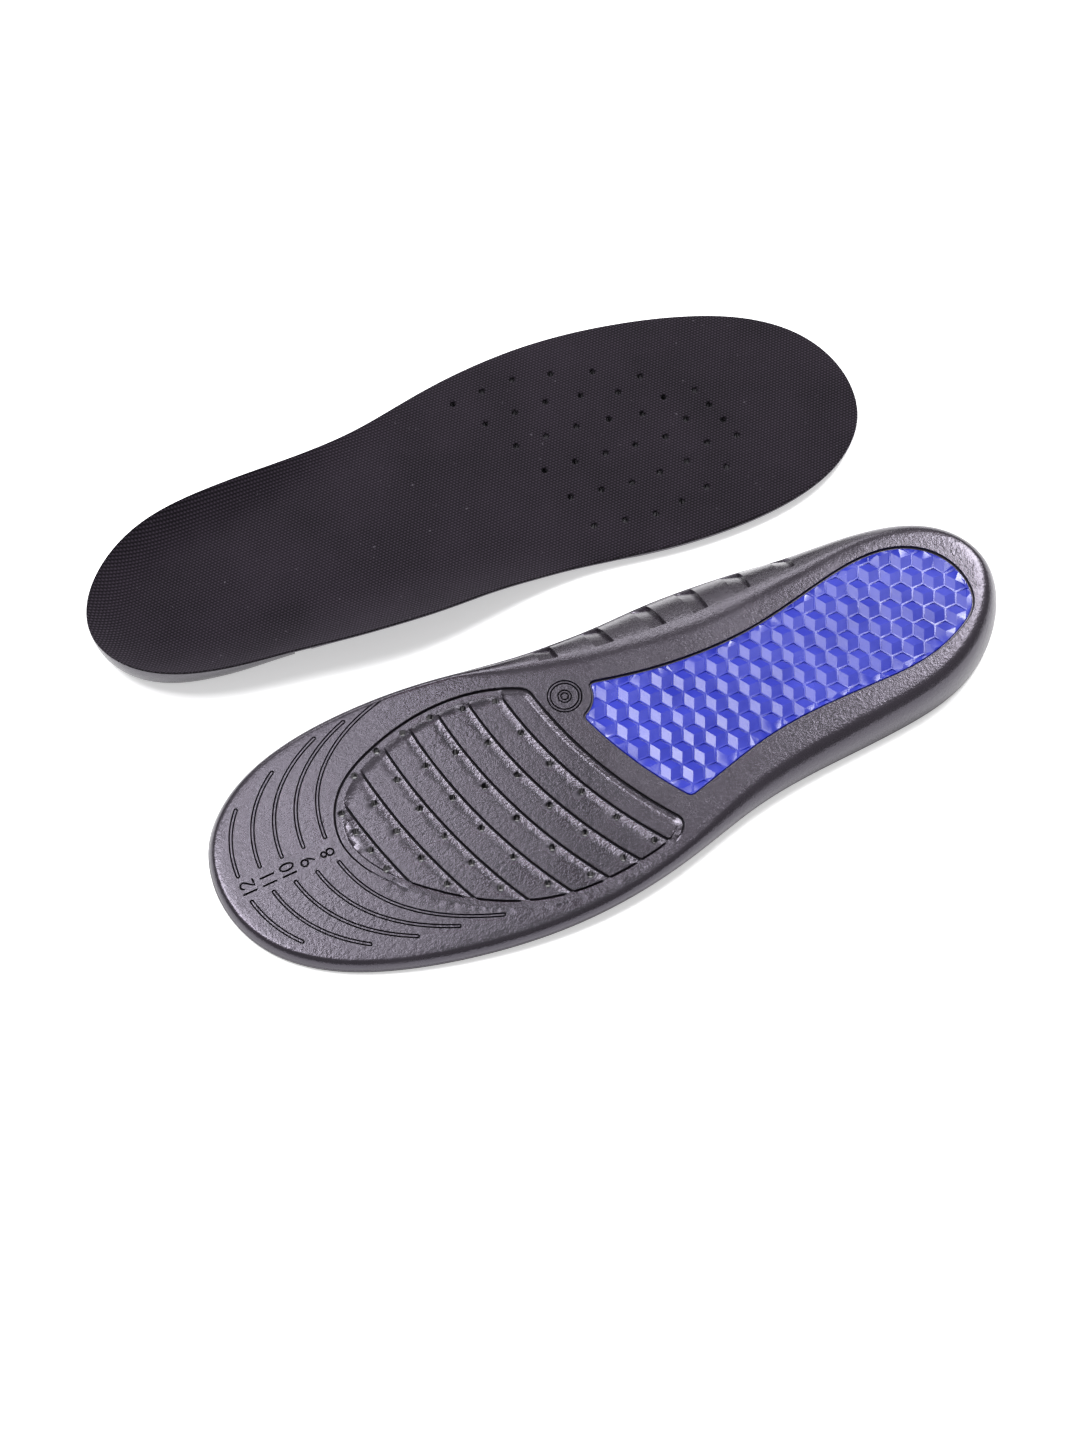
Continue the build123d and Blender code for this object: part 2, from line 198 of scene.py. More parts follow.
# Fineness of the meshes, in mm.
STATION_STEP = 1.25                 # spacing of the wall's stations
FINE_STEP = 0.05                    # spacing of the points that they are picked from
WALL_STEPS = 14
WALL_CROWDING = 1.5                 # how much the wall's rings crowd to the sole
KNIT_GRID = 2.2
FOAM_GRID = 2.6
HIDDEN_GRID = 6.0
LINE_CLEARANCE = 1.2                # from a drawn line to the loose points beside it
BIG_CIRCLE_SIDES = 9000             # circles from which parts of outlines are picked
SMALL_CIRCLE_SIDES = 700
ROW_SHARE = 0.866                   # spacing of a triangular grid's rows, in point spacings
MERGE_DISTANCE = 0.004
CHUNK = 2000                        # points worked on at a time, to save memory


# ---- Curves in plan ----

def curve_through(points, closed=False, step=0.9):
    """Evenly spaced points of the cubic spline through the points."""
    p = np.array(points, float)
    if closed:
        p = np.vstack([p, p[:1]])
    h = np.linalg.norm(np.diff(p, axis=0), axis=1)
    slope = np.diff(p, axis=0) / h[:, None]
    n = len(p)
    a, b = np.zeros((n, n)), np.zeros((n, 2))
    for k in range(1, n - 1):
        a[k, k - 1:k + 2] = h[k], 2 * (h[k - 1] + h[k]), h[k - 1]
        b[k] = 3 * (h[k] * slope[k - 1] + h[k - 1] * slope[k])
    if closed:
        a[0, 0], a[0, -1] = 1, -1
        a[-1, 0], a[-1, 1], a[-1, -2] = 2 * (h[-1] + h[0]), h[-1], h[0]
        b[-1] = 3 * (h[0] * slope[-1] + h[-1] * slope[0])
    else:
        a[0, :2], b[0] = (2, 1), 3 * slope[0]
        a[-1, -2:], b[-1] = (1, 2), 3 * slope[-1]
    m = np.linalg.solve(a, b)
    u = np.linspace(0, 1, 24, endpoint=False)[:, None]
    fine = []
    for k in range(n - 1):
        fine.append(
            p[k] * (1 + 2 * u) * (1 - u) ** 2 + p[k + 1] * u**2 * (3 - 2 * u)
            + h[k] * (m[k] * u * (1 - u) ** 2 - m[k + 1] * u**2 * (1 - u))
        )
    return resample(np.vstack(fine + [p[-1:]]), step, closed)


def resample(points, step, closed=False):
    """The same line with evenly spaced points. A closed one is given with its first point repeated."""
    run = np.concatenate([[0], np.cumsum(np.linalg.norm(np.diff(points, axis=0), axis=1))])
    count = max(2, round(run[-1] / step) + (0 if closed else 1))
    t = np.linspace(0, run[-1], count, endpoint=not closed)
    return np.column_stack([np.interp(t, run, points[:, 0]), np.interp(t, run, points[:, 1])])


def arc(centre, radius, first, last, step=0.9):
    """Points of an arc, its angles in degrees."""
    count = max(3, round(abs(math.radians(last - first)) * radius / step) + 1)
    t = np.radians(np.linspace(first, last, count))
    return np.column_stack([centre[0] + radius * np.cos(t), centre[1] + radius * np.sin(t)])


def circle(centre, radius, count):
    """Points of a whole circle."""
    return arc(centre, radius, 0, 360 - 360 / count, 2 * math.pi * radius / count)


def left_normals(points, closed):
    """Unit vectors to the left of the line's direction."""
    if closed:
        way = np.roll(points, -1, axis=0) - np.roll(points, 1, axis=0)
    else:
        way = np.gradient(points, axis=0)
    way /= np.linalg.norm(way, axis=1)[:, None]
    return np.column_stack([-way[:, 1], way[:, 0]])


def inside(points, loop):
    """Whether each point lies inside the closed loop."""
    x, y = points[:, 0][:, None], points[:, 1][:, None]
    x0, y0 = loop[:, 0], loop[:, 1]
    x1, y1 = np.roll(x0, -1), np.roll(y0, -1)
    crossed = (y0 > y) != (y1 > y)
    rise = np.where(y1 == y0, 1e-12, y1 - y0)
    return (crossed & (x < x0 + (y - y0) * (x1 - x0) / rise)).sum(axis=1) % 2 == 1


def in_chunks(count):
    """The numbers from 0 to below count, in pieces."""
    return np.array_split(np.arange(count), max(1, count // CHUNK))


def distance_to(points, line, closed):
    """Distance from each point to the line."""
    a = line if closed else line[:-1]
    b = np.roll(line, -1, axis=0) if closed else line[1:]
    d = b - a
    nearest = np.full(len(points), np.inf)
    for part in in_chunks(len(points)):
        w = points[part][:, None, :] - a
        t = np.clip((w * d).sum(2) / (d * d).sum(1), 0, 1)
        nearest[part] = np.linalg.norm(w - t[:, :, None] * d, axis=2).min(axis=1)
    return nearest


def inward(loop):
    """Unit vectors from a closed loop's points to its inside."""
    normals = left_normals(loop, True)
    return normals if inside(loop[:1] + normals[:1] * 0.05, loop)[0] else -normals


def depth_inside(points, loop):
    """Distance from each point to the loop, negative outside it."""
    return distance_to(points, loop, True) * np.where(inside(points, loop), 1, -1)


def apart(points, centre):
    """Distance from each point to the centre."""
    return np.linalg.norm(np.asarray(points) - centre, axis=1)


def one_run(points, keep):
    """The kept points of a closed row as one run."""
    start = next(k for k in range(len(points)) if keep[k] and not keep[k - 1])
    return np.roll(points, -start, axis=0)[np.roll(keep, -start)]


def rounded(runs, reach, step=0.9):
    """A closed loop of the runs, end to end, with its corners rounded."""
    loop = []
    for k, run in enumerate(runs):
        following = runs[(k + 1) % len(runs)]
        corner = (run[-1] + following[0]) / 2
        kept = run[(apart(run, run[0]) > reach) & (apart(run, run[-1]) > reach)]
        following = following[apart(following, following[0]) > reach]
        u = np.linspace(0, 1, 9)[1:-1, None]
        bend = kept[-1] * (1 - u) ** 2 + 2 * corner * u * (1 - u) + following[0] * u**2
        loop += [kept, bend]
    loop = np.vstack(loop)
    return resample(np.vstack([loop, loop[:1]]), step, True)


def moved_right(points, distance):
    """An open row of points, each moved to the right of the row's direction."""
    points = np.array(points, float)
    way = points[np.r_[1:len(points), len(points) - 1]] - points[np.r_[0, 0:len(points) - 1]]
    way /= np.linalg.norm(way, axis=1)[:, None]
    return points + distance * np.column_stack([way[:, 1], -way[:, 0]])


def gel_outline():
    """The pad's plan: its sides, its arched front edge and the bite round the emblem."""
    sides = curve_through(GEL_SIDES, step=0.1)
    front = circle(RIB_CENTRE, GEL_FRONT_RADIUS, BIG_CIRCLE_SIDES)
    bite = circle(EMBLEM_CENTRE, EMBLEM_CLEARANCE, SMALL_CIRCLE_SIDES)
    keep = apart(sides, RIB_CENTRE) < GEL_FRONT_RADIUS
    keep &= apart(sides, EMBLEM_CENTRE) > EMBLEM_CLEARANCE
    front = one_run(front, inside(front, sides) & (apart(front, EMBLEM_CENTRE) > EMBLEM_CLEARANCE))
    bite = one_run(bite, inside(bite, sides) & (apart(bite, RIB_CENTRE) < GEL_FRONT_RADIUS))
    return rounded([sides[keep], bite[::-1], front], GEL_CORNER_REACH)


def window_outline(shrunk, reach):
    """The ribbed window's plan: a curved front and a rear edge on a rib arc."""
    front = curve_through(moved_right(WINDOW_FRONT, shrunk), step=0.1)
    rear_radius = WINDOW_REAR_RADIUS + shrunk
    rear = circle(RIB_CENTRE, rear_radius, BIG_CIRCLE_SIDES)
    rear = one_run(rear, inside(rear, front))
    return rounded([front[apart(front, RIB_CENTRE) > rear_radius], rear], reach)


# ---- Heights ----

def along(stations, x):
    """The value at x of a smooth curve through the stations, level beyond both ends."""
    xs, ys = np.array(stations, float).T
    slope = np.zeros(len(xs))
    slope[1:-1] = (ys[2:] - ys[:-2]) / (xs[2:] - xs[:-2])
    x = np.clip(x, xs[0], xs[-1])
    i = np.clip(np.searchsorted(xs, x, side="right") - 1, 0, len(xs) - 2)
    span = xs[i + 1] - xs[i]
    u = (x - xs[i]) / span
    rise = (3 - 2 * u) * u * u
    lead, trail = u * (1 - u) ** 2 * span, u * u * (1 - u) * span
    return ys[i] + (ys[i + 1] - ys[i]) * rise + slope[i] * lead - slope[i + 1] * trail


def two_sided(outer, inner, xy):
    """Blend of the outer side's stations and the inner side's across the insole's middle."""
    u = np.clip((BLEND_REACH - xy[:, 1]) / (2 * BLEND_REACH), 0, 1)
    w = (3 - 2 * u) * u * u
    return (1 - w) * along(outer, xy[:, 0]) + w * along(inner, xy[:, 0])


RIM = curve_through(RIM_OUTLINE, closed=True, step=1.0)


def footbed_height(xy):
    """Height of the cover's upper face: a flat footbed that rises to the rim."""
    bed = along(FOOTBED_HEIGHT, xy[:, 0])
    rim = two_sided(OUTER_RIM_HEIGHT, INNER_RIM_HEIGHT, xy)
    width = two_sided(OUTER_CUP_WIDTH, INNER_CUP_WIDTH, xy)
    climb = np.clip(1 - depth_inside(xy, RIM) / width, 0, 1)
    return bed + (rim - bed) * climb**CUP_STEEPNESS


def rim_stations():
    """Points round the rim: evenly spaced, with more at the edges of the arch's tabs."""
    fine = curve_through(RIM_OUTLINE, closed=True, step=FINE_STEP)
    count = round(len(fine) * FINE_STEP / STATION_STEP)
    picked = set(np.linspace(0, len(fine), count, endpoint=False).astype(int))
    inner = np.flatnonzero(fine[:, 1] < -BLEND_REACH)
    for edges in ARCH_TABS:
        for edge in edges:
            for offset in (-TAB_EDGE, TAB_EDGE):
                picked.add(inner[np.abs(fine[inner, 0] - edge - offset).argmin()])
    return fine[sorted(picked)]


STATIONS = rim_stations()
INWARD = inward(STATIONS)


def tab_depth():
    """How far the arch's tabs are sunk into the wall at each station."""
    x, y = STATIONS.T
    depth = np.zeros(len(STATIONS))
    for sharp, flush in ARCH_TABS:
        within = (y < -BLEND_REACH) & (x > sharp) & (x < flush)
        depth[within] = np.interp(x[within], (sharp, flush), TAB_DEPTHS)
    return depth


def wall_ring(part_of_height):
    """Points of the outer wall, this part of the way up to the rim."""
    inset = two_sided(OUTER_WALL_INSET, INNER_WALL_INSET, STATIONS)
    power = two_sided(OUTER_WALL_ROUNDNESS, INNER_WALL_ROUNDNESS, STATIONS)
    height = two_sided(OUTER_RIM_HEIGHT, INNER_RIM_HEIGHT, STATIONS)
    s = part_of_height
    left = inset * (1 - (1 - (1 - s) ** power) ** (1 / power))
    return np.column_stack([STATIONS + INWARD * left[:, None], height * s])


def rim_ring(inset, drop):
    """The rim's points, moved inwards and down."""
    return wall_ring(1.0) + np.column_stack([INWARD * inset, np.full(len(STATIONS), -drop)])


def base_wall():
    """The base's wall as rings from the sole up, with the tabs sunk along its normals."""
    parts = list((np.arange(WALL_STEPS) / WALL_STEPS) ** WALL_CROWDING)
    for edge in TAB_SPAN:
        parts += [edge - TAB_STEP, edge + TAB_STEP]
    parts.sort()
    limit = 1 - LIP_DROP / two_sided(OUTER_RIM_HEIGHT, INNER_RIM_HEIGHT, STATIONS)
    depth = tab_depth()[:, None]
    rings = []
    for s in parts:
        ring = wall_ring(s * limit)
        if TAB_SPAN[0] < s < TAB_SPAN[1]:
            up = wall_ring((s + TAB_STEP) * limit) - ring
            along_rim = np.roll(ring, -1, axis=0) - np.roll(ring, 1, axis=0)
            normal = np.cross(up, along_rim)
            normal /= np.linalg.norm(normal, axis=1)[:, None]
            normal *= np.sign((normal[:, :2] * INWARD).sum(axis=1))[:, None]
            ring = ring + normal * depth
        rings.append(ring)
    return rings


# ---- Surfaces ----

class Plan:
    """A plan drawn with lines inside a closed ring in space, then filled with triangles."""

    def __init__(self, ring):
        self.points, self.edges, self.heights = [], [], {}
        self.boundary, self.holes = ring[:, :2], []
        self.line(ring, True, ring[:, 2])

    def line(self, points, closed, height=None):
        """Adds a line that triangles don't cross, with its height where that is known."""
        first, count = len(self.points), len(points)
        self.points += [Vector(p[:2]) for p in points]
        steps = count if closed else count - 1
        self.edges += [(first + k, first + (k + 1) % count) for k in range(steps)]
        if height is not None:
            values = np.broadcast_to(height, count)
            self.heights.update({first + k: float(v) for k, v in enumerate(values)})

    def hole(self, points, height=None):
        """Adds a small closed line that stays empty."""
        self.line(points, True, height)
        self.holes.append(np.asarray(points))

    def fill(self, spacing, clearance=LINE_CLEARANCE):
        """Loose points on a triangular grid, clear of the lines."""
        low, high = self.boundary.min(0), self.boundary.max(0)
        rows = []
        for k, y in enumerate(np.arange(low[1], high[1], spacing * ROW_SHARE)):
            x = np.arange(low[0] + spacing / 2 * (k % 2), high[0], spacing)
            rows.append(np.column_stack([x, np.full(len(x), y)]))
        grid = np.vstack(rows)
        grid = grid[inside(grid, self.boundary)]
        drawn = np.array([p[:] for p in self.points])
        cells = {}
        for p in drawn:
            cells.setdefault((int(p[0] // clearance), int(p[1] // clearance)), []).append(p)
        around = [(di, dj) for di in (-1, 0, 1) for dj in (-1, 0, 1)]
        for p in grid:
            i, j = int(p[0] // clearance), int(p[1] // clearance)
            near = [q for di, dj in around for q in cells.get((i + di, j + dj), ())]
            if all(abs(q[0] - p[0]) + abs(q[1] - p[1]) > clearance for q in near):
                self.points.append(Vector(p))

    def triangles(self, height_at):
        """(points with heights, triangles) of the filled plan. height_at gives unknown heights."""
        made, _, faces, sources, _, _ = delaunay_2d_cdt(self.points, self.edges, [], 0, 1e-5)
        xy = np.array([v[:] for v in made])
        faces = np.array(faces)
        middle = xy[faces].mean(axis=1)
        keep = inside(middle, self.boundary)
        for hole in self.holes:
            near = apart(middle, hole.mean(0)) < 4 * HOLE_RADIUS
            keep[near] &= ~inside(middle[near], hole)
        z = height_at(xy)
        for k, source in enumerate(sources):
            for s in source:
                if s in self.heights:
                    z[k] = self.heights[s]
        return np.column_stack([xy, z]), faces[keep]


class Shell:
    """A mesh put together from surfaces that meet at shared points."""

    def __init__(self):
        self.points, self.faces, self.grime = [], [], []
        self.count = 0

    def add(self, points, faces, grime=0.0):
        """Adds points and the faces between them, with how much painted shade each point gets, from 0 to 1.
        """
        self.points.append(points)
        self.grime.append(np.zeros(len(points)) + grime)
        self.faces += [tuple(int(i) + self.count for i in face) for face in faces]
        self.count += len(points)

    def strip(self, rings, grime=0.0):
        """Quads between each closed ring and the next."""
        n = len(rings[0])
        faces = []
        for r in range(len(rings) - 1):
            for k in range(n):
                j = (k + 1) % n
                faces.append((r * n + k, r * n + j, (r + 1) * n + j, (r + 1) * n + k))
        self.add(np.vstack(rings), faces, grime)

    def placed(self, name, matrix, sharp_angle):
        """The mesh as an object in the row frame."""
        mesh = bpy.data.meshes.new(name)
        mesh.from_pydata([Vector(p) * MM for p in np.vstack(self.points)], [], self.faces)
        # Each point's painted shade, 0 to 1, stored for the foam's material.
        grime = mesh.attributes.new("grime", "FLOAT", "POINT")
        grime.data.foreach_set("value", np.concatenate(self.grime))
        bm = bmesh.new()
        bm.from_mesh(mesh)
        bmesh.ops.remove_doubles(bm, verts=bm.verts, dist=MERGE_DISTANCE * MM)
        bmesh.ops.transform(bm, matrix=matrix, verts=bm.verts)
        bmesh.ops.recalc_face_normals(bm, faces=bm.faces)
        bm.to_mesh(mesh)
        bm.free()
        mesh.polygons.foreach_set("use_smooth", [True] * len(mesh.polygons))
        mesh.set_sharp_from_angle(angle=math.radians(sharp_angle))
        piece = bpy.data.objects.new(name, mesh)
        bpy.context.scene.collection.objects.link(piece)
        return piece


# ---- The base ----

def hole_places():
    """Centres of the perforations."""
    places = []
    for row, (count, first, last) in enumerate(HOLE_ROWS):
        radius = RIB_FIRST_RADIUS + row * RIB_PITCH + RIB_RAMP
        for angle in np.radians(np.linspace(first, last, count)):
            places.append(RIB_CENTRE + radius * np.array([math.cos(angle), math.sin(angle)]))
    return places


WINDOW = window_outline(0.0, WINDOW_CORNER_REACH)
RIB_ENDS = window_outline(RIB_BORDER, RIB_CORNER_REACH)
GEL = gel_outline()
GEL_INWARD = inward(GEL)


def share_past(value, start, reach):
    """0 up to the start, then rising to 1 over the reach."""
    return np.clip((value - start) / reach, 0, 1)


def rib_drop(radius, past_edge):
    """Depth of the shingled ribs' faces, as a part of the window's depth."""
    last = RIB_FIRST_RADIUS + (RIB_COUNT - 1) * RIB_PITCH
    distances = RIB_PROFILE[0] + [RIB_PITCH - SHARP_EDGE / 2, RIB_PITCH]
    drop = np.interp(past_edge, distances, RIB_PROFILE[1] + [0.0, 0.5])
    rear = np.interp(radius - WINDOW_REAR_RADIUS, [0, WINDOW_REAR_RAMP], [1.0, 0.0])
    drop = np.where(radius < RIB_FIRST_RADIUS - SHARP_EDGE, rear, drop)
    return np.where(radius > last, share_past(radius, last, SHARP_EDGE), drop)


def window_height(xy):
    """Height of the ribbed window at points inside it: channels, ribs and slots at their ends."""
    y, radius = xy[:, 1], apart(xy, RIB_CENTRE)
    within, past_end = distance_to(xy, WINDOW, True), -depth_inside(xy, RIB_ENDS)
    past_edge = np.mod(radius - RIB_FIRST_RADIUS, RIB_PITCH)
    outer_side = share_past(y, *OUTER_SIDE) * share_past(radius - WINDOW_REAR_RADIUS, *OUTER_SIDE_REAR)
    inner_side = share_past(-y, -INNER_SIDE[0], INNER_SIDE[1])

    shallow, slotted = np.interp(within, *OUTER_CHANNEL), np.interp(within, *EDGE_PROFILE)
    channel = slotted + (shallow - slotted) * outer_side
    end = SHARP_EDGE + (INNER_END_SLOPE - SHARP_EDGE) * inner_side
    rib = np.clip((SHARP_EDGE / 2 - past_end) / end, 0, 1)
    ledge = (radius > WINDOW_REAR_RADIUS + REAR_LEDGE) * np.clip(within / RIB_BORDER, 0, 1)
    rib = np.where(radius < RIB_FIRST_RADIUS - SHARP_EDGE, np.maximum(rib, ledge), rib)
    floor = WINDOW_DEPTH * (channel * (1 - rib) + rib_drop(radius, past_edge) * rib)
    slot = np.interp(past_end, *END_SLOT) * outer_side * (past_edge > END_SLOT_START)
    return np.maximum(floor, slot * END_SLOT_DEPTH)


def sole_height(xy):
    """Height of the sole's face: level, but for the ribbed window and the pad's pocket."""
    z = np.zeros(len(xy))
    window = inside(xy, WINDOW)
    z[window] = window_height(xy[window])
    z[inside(xy, GEL + GEL_INWARD * POCKET_FLOOR_INSET)] = POCKET_DEPTH
    return z


def round_end(before, tip, radius):
    """A half circle round a line's tip, from its left to its right."""
    way = math.degrees(math.atan2(*(tip - before)[::-1]))
    return arc(tip, radius, way + 90, way - 90, step=0.3)[1:-1]


def bead(plan, line, closed, profile):
    """Embosses a line: the profile gives its depths on both sides of its middle."""
    normal = left_normals(line, closed)
    for distance, depth in profile:
        left, right = line + normal * distance, line - normal * distance
        if closed:
            plan.line(left, True, depth)
            plan.line(right, True, depth)
        else:
            end, start = round_end(line[-2], line[-1], distance), round_end(line[1], line[0], distance)
            plan.line(np.vstack([left, end, right[::-1], start]), True, depth)


def trim_lines():
    """The toe's outline moved back to each shorter size, in two halves."""
    for size in SIZES:
        shift = SIZE_ZERO_LENGTH + size * INCH / 3 - LENGTH
        toe = one_run(RIM, RIM[:, 0] > TOE_START) + (shift, 0)
        low, high = TRIM_SIDE_LIMITS[size]
        for y0, y1 in ((low, TRIM_GAP[0]), (TRIM_GAP[1], high)):
            yield toe[(toe[:, 1] > y0) & (toe[:, 1] < y1)]


def digit(character):
    """A plain digit's strokes in its own frame, one unit high."""
    if character == "1":
        return [(np.array([(0, -0.5), (0, -0.17), (0, 0.17), (0, 0.5)]), False)]
    if character == "2":
        head = arc((0, 0.25), 0.25, 160, -30, 0.06)
        return [(np.vstack([head, [(-0.02, -0.16), (-0.25, -0.5), (0.0, -0.5), (0.26, -0.5)]]), False)]
    if character == "9":
        tail = curve_through([(0.25, 0.22), (0.2, -0.15), (-0.05, -0.5)], step=0.08)
        return [(circle((0, 0.22), 0.25, 20), True), (tail[2:], False)]
    if character == "8":
        return [(circle((0, 0.26), 0.2, 18), True), (circle((0, -0.22), 0.26, 20), True)]
    oval = circle((0, 0), 0.5, 28) * (0.52, 1)
    return [(oval, True)]


def number_strokes(size, reads_from_below):
    """The strokes of a size's number, its top to the toe."""
    x = NUMBER_FIRST + (size - SIZES[0]) * NUMBER_PITCH
    text = str(size)
    for k, character in enumerate(text):
        shift = (k - (len(text) - 1) / 2) * DIGIT_PITCH
        for stroke, closed in digit(character):
            across = (stroke[:, 0] + shift) * NUMBER_HEIGHT
            if reads_from_below:
                across = -across
            yield np.column_stack([x + stroke[:, 1] * NUMBER_HEIGHT, NUMBER_MIDDLE - across]), closed


def sole_plan(ring, holes, reads_from_below):
    """The sole's plan, with every line that its relief follows."""
    sole = Plan(ring)
    sole.line(WINDOW, True)
    for offset in EDGE_PROFILE[0][1:]:
        sole.line(WINDOW + inward(WINDOW) * offset, True)
    for offset in [-SHARP_EDGE / 2, SHARP_EDGE / 2] + END_SLOT[0][1:]:
        sole.line(RIB_ENDS - inward(RIB_ENDS) * offset, True)
    for k in range(RIB_COUNT):
        for offset in [-SHARP_EDGE / 2] + RIB_PROFILE[0][1:]:
            line = arc(RIB_CENTRE, RIB_FIRST_RADIUS + k * RIB_PITCH + offset, *RIB_ANGLES)
            line = line[inside(line, WINDOW)]
            if len(line) > 3:
                sole.line(line, False)
    rear = arc(RIB_CENTRE, WINDOW_REAR_RADIUS + WINDOW_REAR_RAMP, *RIB_ANGLES)
    sole.line(rear[inside(rear, WINDOW)], False)
    for offset, depth in POCKET_PROFILE:
        sole.line(GEL - GEL_INWARD * offset, True, depth)
    for line in trim_lines():
        bead(sole, line, False, BEAD_PROFILE)
    for size in SIZES:
        for line, closed in number_strokes(size, reads_from_below):
            bead(sole, line, closed, NUMBER_PROFILE)
    for radius, count in EMBLEM_RINGS:
        bead(sole, circle(EMBLEM_CENTRE, radius, count), True, BEAD_PROFILE)
    for loop in holes:
        sole.hole(loop)
    sole.fill(FOAM_GRID)
    return sole


def groove_grime(points):
    """Painted shade: 1 for the sole's points deep in a narrow groove, else 0."""
    xy = points[:, :2]
    limit = np.where(inside(xy, WINDOW), SLOT_DARK_DEPTH, MARK_DARK_DEPTH)
    return np.where((points[:, 2] > limit) & ~inside(xy, GEL), 1.0, 0.0)


def bed_height(xy):
    """Height of the foam under the cover."""
    return footbed_height(xy) - COVER_THICKNESS - COVER_GAP


def make_base(reads_from_below):
    """The moulded foam base as one closed shell."""
    shell = Shell()
    rings = base_wall() + [rim_ring(*place) for place in BASE_LIP]
    shell.strip(rings)
    holes = [circle(centre, HOLE_RADIUS, HOLE_SIDES) for centre in hole_places()]
    points, faces = sole_plan(rings[0], holes, reads_from_below).triangles(sole_height)
    # The floors of the deep grooves get painted shade.
    shell.add(points, faces, groove_grime(points))

    bed = Plan(rings[-1])
    for loop in holes:
        bed.hole(loop)
    bed.fill(HIDDEN_GRID, HIDDEN_GRID / 2)
    shell.add(*bed.triangles(bed_height))
    for loop in holes:
        ends = [np.column_stack([loop, height(loop)]) for height in (sole_height, bed_height)]
        # The perforations' walls get full painted shade, so the holes read dark.
        shell.strip(ends, 1.0)
    return shell


# ---- The cover ----

def under_height(xy):
    """Height of the cover's underside."""
    return footbed_height(xy) - COVER_THICKNESS


def make_cover():
    """The knit cover as a thin closed shell with a rolled edge, dipping in at each hole."""
    shell = Shell()
    fold = STATIONS + INWARD * FOLD_INSET
    rings = [rim_ring(*place) for place in COVER_EDGE]
    rings.append(np.column_stack([fold, footbed_height(fold)]))
    shell.strip(rings)
    top, under = Plan(rings[-1]), Plan(rings[0])
    for centre in hole_places():
        for share, dip in HOLE_LIP:
            lip = circle(centre, HOLE_RADIUS * share, HOLE_SIDES)
            top.line(lip, True, footbed_height(lip) - dip)
        loop = circle(centre, HOLE_RADIUS, HOLE_SIDES)
        sunk, low = footbed_height(loop) - HOLE_SINK, under_height(loop)
        top.hole(loop, sunk)
        under.hole(loop, low)
        shell.strip([np.column_stack([loop, sunk]), np.column_stack([loop, low])])
    top.fill(KNIT_GRID)
    under.fill(FOAM_GRID)
    shell.add(*top.triangles(footbed_height))
    shell.add(*under.triangles(under_height))
    return shell


# ---- The gel pad ----

def cube_centres():
    """Middles of the gel's cubes, in columns set off by half a cube."""
    for i in range(-1, round(GEL_FRONT_RADIUS / CUBE_COLUMN) + 2):
        for j in range(-CUBE_ROWS, CUBE_ROWS + 1):
            yield np.array([i * CUBE_COLUMN, (j + i % 2 / 2) * CUBE_PITCH]) + CUBE_START


def hexagon(scale):
    """Corners of a cube's outline about its middle, pointed along x."""
    turn = np.radians(np.arange(0, 360, 60))
    across = CUBE_PITCH / math.sqrt(3)
    return scale * np.column_stack([CUBE_COLUMN / 1.5 * np.cos(turn), across * np.sin(turn)])


def cube_depth(xy):
    """Depth of the gel's face below its highest points: cube corners in a level web."""
    centres = np.array(list(cube_centres()))
    stretch = np.array([CUBE_COLUMN / 1.5, CUBE_PITCH / math.sqrt(3)])
    to_faces, to_edges = np.radians([0, 120, 240]), np.radians(np.arange(30, 390, 60))
    depth = np.empty(len(xy))
    for part in in_chunks(len(xy)):
        offset = (xy[part][:, None] - centres) / stretch
        nearest = (offset**2).sum(2).argmin(1)
        p = offset[np.arange(len(part)), nearest]
        face = (p @ np.array([np.cos(to_faces), np.sin(to_faces)])).max(axis=1)
        edge = (p @ np.array([np.cos(to_edges), np.sin(to_edges)])).max(axis=1) / math.cos(math.radians(30))
        web = np.clip((edge - CUBE_SCALE) / (CUBE_WEB - CUBE_SCALE), 0, 1)
        depth[part] = CUBE_RELIEF * ((1 - web) * 2 / 3 * face + web * WEB_LEVEL)
    return depth


def pad_height(xy):
    """Height of the pad's face, level at its edge."""
    fade = np.clip(distance_to(xy, GEL, True) - PAD_EDGE[-1][0], 0, 1)
    return GEL_FLUSH + fade * (cube_depth(xy) + GEL_SETBACK - GEL_FLUSH)


def make_gel_pad():
    """The gel pad as a closed shell whose face is tiled with cube corners."""
    shell = Shell()
    rings = [np.column_stack([GEL + GEL_INWARD * inset, np.full(len(GEL), z)]) for inset, z in PAD_EDGE]
    shell.strip(rings)
    back = Plan(rings[0])
    back.fill(HIDDEN_GRID, HIDDEN_GRID / 2)
    shell.add(*back.triangles(lambda xy: np.full(len(xy), PAD_BACK)))
    face = Plan(rings[-1])
    tiled = GEL + GEL_INWARD * TILED_INSET
    for centre in cube_centres():
        for scale in (CUBE_SCALE, CUBE_WEB):
            loop = centre + hexagon(scale)
            for k in range(6):
                face_line(face, loop[k], loop[(k + 1) % 6], tiled)
        for corner in centre + hexagon(CUBE_SCALE)[1::2]:
            face_line(face, centre, corner, tiled)
    shell.add(*face.triangles(pad_height))
    return shell


def face_line(plan, a, b, loop):
    """Adds the part of the segment a-b that lies inside the loop."""
    points = a + (b - a) * np.linspace(0, 1, 25)[:, None]
    within = inside(points, loop)
    if within.all():
        plan.line([a, b], False)
    elif within.any():
        run = points[within]
        plan.line([run[0], run[-1]], False)


# ---- Placing ----

def row_matrix(place, sole_up):
    """From an insole's own frame to the row frame, in metres."""
    x, y, z, turn = place
    matrix = Matrix.Translation(Vector((x, y, z)) * MM) @ Matrix.Rotation(math.radians(turn), 4, "Z")
    if sole_up:
        matrix = (matrix @ Matrix.Rotation(math.radians(-SOLE_UP_ROLL), 4, "X")
                  @ Matrix.Rotation(math.radians(SOLE_UP_PITCH), 4, "Y") @ Matrix.Diagonal((1, 1, -1, 1)))
    return matrix


# ---- Materials ----

